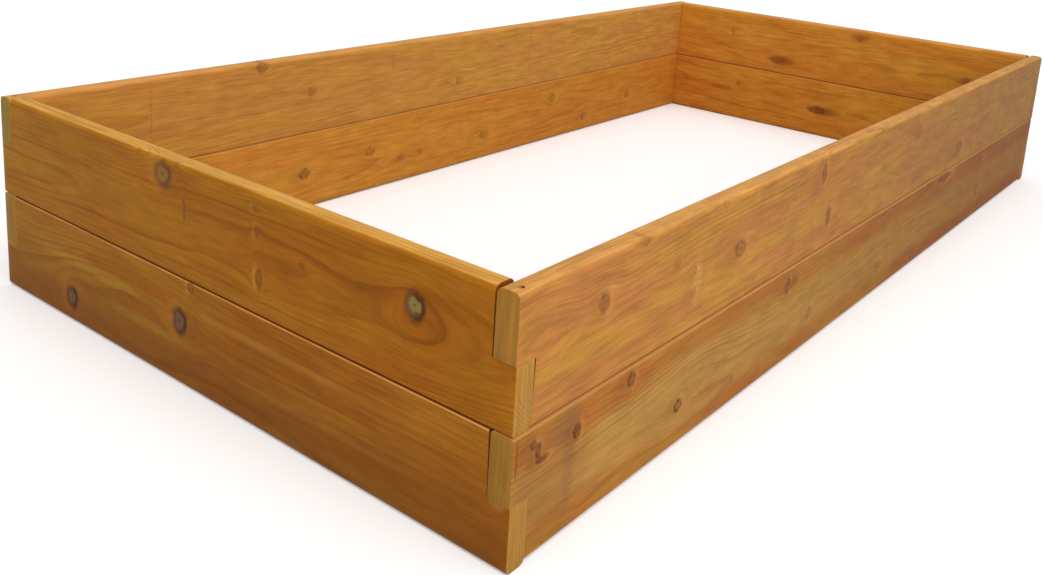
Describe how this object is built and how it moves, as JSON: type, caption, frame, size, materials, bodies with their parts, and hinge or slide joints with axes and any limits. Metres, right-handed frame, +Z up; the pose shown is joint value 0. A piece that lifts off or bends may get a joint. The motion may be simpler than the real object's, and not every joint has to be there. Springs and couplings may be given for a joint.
{
  "type": "raised garden bed",
  "caption": "Long low rectangular bed of oiled cedar boards in two stacked tiers with interlocking halved corners, open at top and bottom, to hold soil on the ground.",
  "frame": {"origin": "on the ground, in the middle of the bed's footprint", "axes": "+X along the long side, +Y along the short side from the front to the rear, +Z up"},
  "size_m": [2.4384, 1.2192, 0.3686],
  "materials": {
    "oiled_cedar": "planed and oiled, satin, honey to amber with reddish knots",
    "plated_steel": "dull zinc plate"
  },
  "bodies": {
    "root": {"lower_front_board": "oiled_cedar", "lower_rear_board": "oiled_cedar", "lower_left_board": "oiled_cedar", "lower_right_board": "oiled_cedar", "upper_front_board": "oiled_cedar", "upper_rear_board": "oiled_cedar", "upper_left_board": "oiled_cedar", "upper_right_board": "oiled_cedar", "front_left_corner_pin": "plated_steel", "front_right_corner_pin": "plated_steel", "rear_left_corner_pin": "plated_steel", "rear_right_corner_pin": "plated_steel"}
  },
  "joints": []
}
